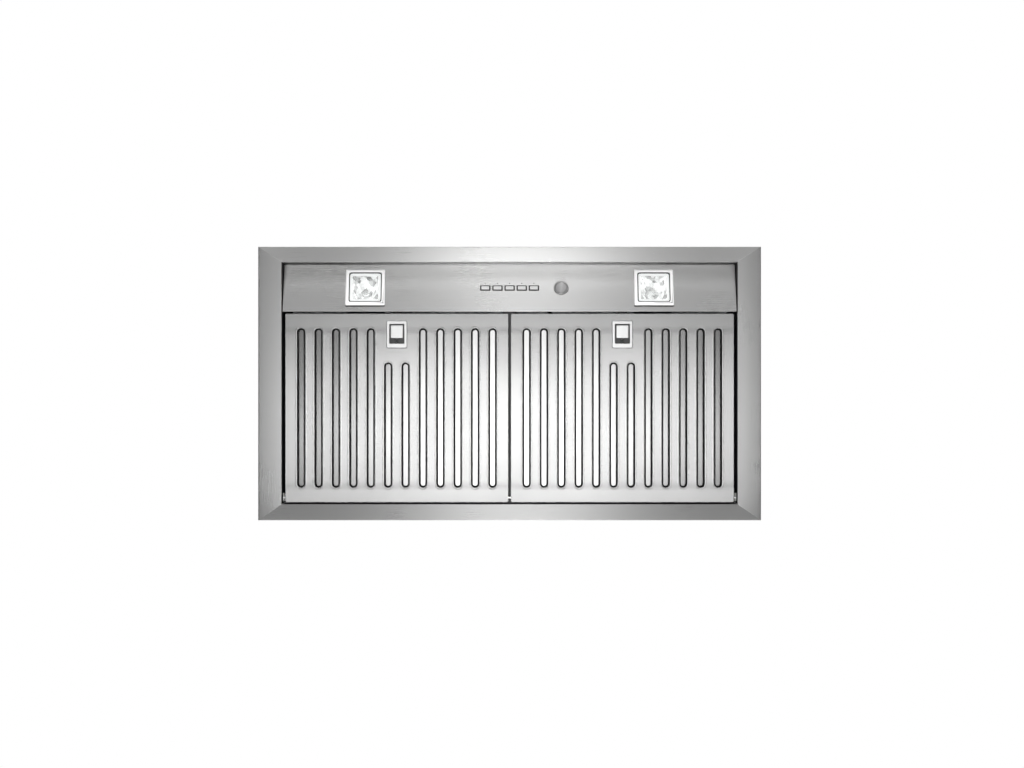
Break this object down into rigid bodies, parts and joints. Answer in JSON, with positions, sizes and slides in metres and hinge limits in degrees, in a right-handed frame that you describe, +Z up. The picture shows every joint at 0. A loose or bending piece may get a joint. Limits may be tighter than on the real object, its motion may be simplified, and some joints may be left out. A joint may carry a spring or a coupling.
{
  "type": "range hood insert",
  "caption": "Built-in range hood insert: flanged steel liner with slotted baffle filters that swing down, sliding latches, square lights, push buttons, blower and duct collar.",
  "frame": {"origin": "middle of the flange's lower face, at the bottom of the bounding box", "axes": "+X to the cook's right along the length, -Y towards the cook, +Z up towards the duct"},
  "size_m": [0.873, 0.475, 0.3271],
  "materials": {
    "body_steel": "fine brushed grain, satin",
    "filter_steel": "bright satin sheet",
    "polished_steel": "polished",
    "galvanised_steel": "zinc coated, matt",
    "cast_aluminium": "cast, matt",
    "white_plastic": "smooth, soft gloss",
    "dark_plastic": "moulded, matt",
    "clear_glass": "clear",
    "spring_steel": "drawn wire"
  },
  "bodies": {
    "liner": {"front_panel": "body_steel", "rear_panel": "body_steel", "left_panel": "body_steel", "right_panel": "body_steel", "control_panel": "body_steel", "centre_rail": "body_steel", "hinge_bracket_left": "body_steel", "hinge_bracket_right": "body_steel", "top_pan": "galvanised_steel", "blower_box": "galvanised_steel", "blower_cover": "galvanised_steel", "scroll_housing": "galvanised_steel", "scroll_side_plate": "galvanised_steel", "inlet_ring_left": "galvanised_steel", "inlet_ring_right": "galvanised_steel", "motor_bracket": "galvanised_steel", "duct_collar": "galvanised_steel", "junction_box": "galvanised_steel", "junction_box_cover": "galvanised_steel", "light_left_box": "galvanised_steel", "light_right_box": "galvanised_steel", "fan_motor": "cast_aluminium", "damper_pin": "polished_steel", "plain_disc": "polished_steel", "switch_body": "dark_plastic", "lamp_cable_left": "dark_plastic", "lamp_cable_right": "dark_plastic", "switch_cable": "dark_plastic", "light_driver": "white_plastic", "light_left_bezel": "polished_steel", "light_left_reflector": "polished_steel", "light_left_glass": "clear_glass", "light_left_lamp": "clear_glass", "light_right_bezel": "polished_steel", "light_right_reflector": "polished_steel", "light_right_glass": "clear_glass", "light_right_lamp": "clear_glass"},
    "filter_left": {"filter_left_front_baffle": "filter_steel", "filter_left_rear_baffle": "filter_steel", "filter_left_latch_frame": "polished_steel", "filter_left_latch_guide": "galvanised_steel", "filter_left_latch_spring": "spring_steel", "filter_left_hinge_pin": "polished_steel"},
    "latch_left": {"filter_left_latch_catch": "polished_steel"},
    "filter_right": {"filter_right_front_baffle": "filter_steel", "filter_right_rear_baffle": "filter_steel", "filter_right_latch_frame": "polished_steel", "filter_right_latch_guide": "galvanised_steel", "filter_right_latch_spring": "spring_steel", "filter_right_hinge_pin": "polished_steel"},
    "latch_right": {"filter_right_latch_catch": "polished_steel"},
    "button_1": {"button_1": "white_plastic"},
    "button_2": {"button_2": "white_plastic"},
    "button_3": {"button_3": "white_plastic"},
    "button_4": {"button_4": "white_plastic"},
    "button_5": {"button_5": "white_plastic"},
    "fan": {"fan_wheel": "cast_aluminium", "fan_shaft": "polished_steel"},
    "damper_front": {"damper_flap_front": "galvanised_steel"},
    "damper_rear": {"damper_flap_rear": "galvanised_steel"}
  },
  "joints": [
    {"name": "filter_left_swing", "type": "hinge", "parent": "liner", "child": "filter_left", "pos_m": [-0.196, 0.198, 0.0095], "axis": [1, 0, 0], "range_deg": [0, 80]},
    {"name": "latch_left_slide", "type": "slide", "parent": "filter_left", "child": "latch_left", "axis": [0, 1, 0], "range_m": [0, 0.008], "stiffness_N_per_m": 250, "springref_m": -0.004, "deforming": ["filter_left_latch_spring"]},
    {"name": "filter_right_swing", "type": "hinge", "parent": "liner", "child": "filter_right", "pos_m": [0.196, 0.198, 0.0095], "axis": [1, 0, 0], "range_deg": [0, 80]},
    {"name": "latch_right_slide", "type": "slide", "parent": "filter_right", "child": "latch_right", "axis": [0, 1, 0], "range_m": [0, 0.008], "stiffness_N_per_m": 250, "springref_m": -0.004, "deforming": ["filter_right_latch_spring"]},
    {"name": "button_1_press", "type": "slide", "parent": "liner", "child": "button_1", "axis": [0, 0.4067, 0.9135], "range_m": [0, 0.0025], "stiffness_N_per_m": 300, "springref_m": -0.002},
    {"name": "button_2_press", "type": "slide", "parent": "liner", "child": "button_2", "axis": [0, 0.4067, 0.9135], "range_m": [0, 0.0025], "stiffness_N_per_m": 300, "springref_m": -0.002},
    {"name": "button_3_press", "type": "slide", "parent": "liner", "child": "button_3", "axis": [0, 0.4067, 0.9135], "range_m": [0, 0.0025], "stiffness_N_per_m": 300, "springref_m": -0.002},
    {"name": "button_4_press", "type": "slide", "parent": "liner", "child": "button_4", "axis": [0, 0.4067, 0.9135], "range_m": [0, 0.0025], "stiffness_N_per_m": 300, "springref_m": -0.002},
    {"name": "button_5_press", "type": "slide", "parent": "liner", "child": "button_5", "axis": [0, 0.4067, 0.9135], "range_m": [0, 0.0025], "stiffness_N_per_m": 300, "springref_m": -0.002},
    {"name": "fan_spin", "type": "hinge", "parent": "liner", "child": "fan", "pos_m": [0, -0.01498, 0.20118], "axis": [1, 0, 0], "continuous": true},
    {"name": "damper_front_swing", "type": "hinge", "parent": "liner", "child": "damper_front", "pos_m": [0, 0.0495, 0.2958], "axis": [-1, 0, 0], "range_deg": [0, 75]},
    {"name": "damper_rear_swing", "type": "hinge", "parent": "liner", "child": "damper_rear", "pos_m": [0, 0.0495, 0.2958], "axis": [1, 0, 0], "range_deg": [0, 75]}
  ]
}
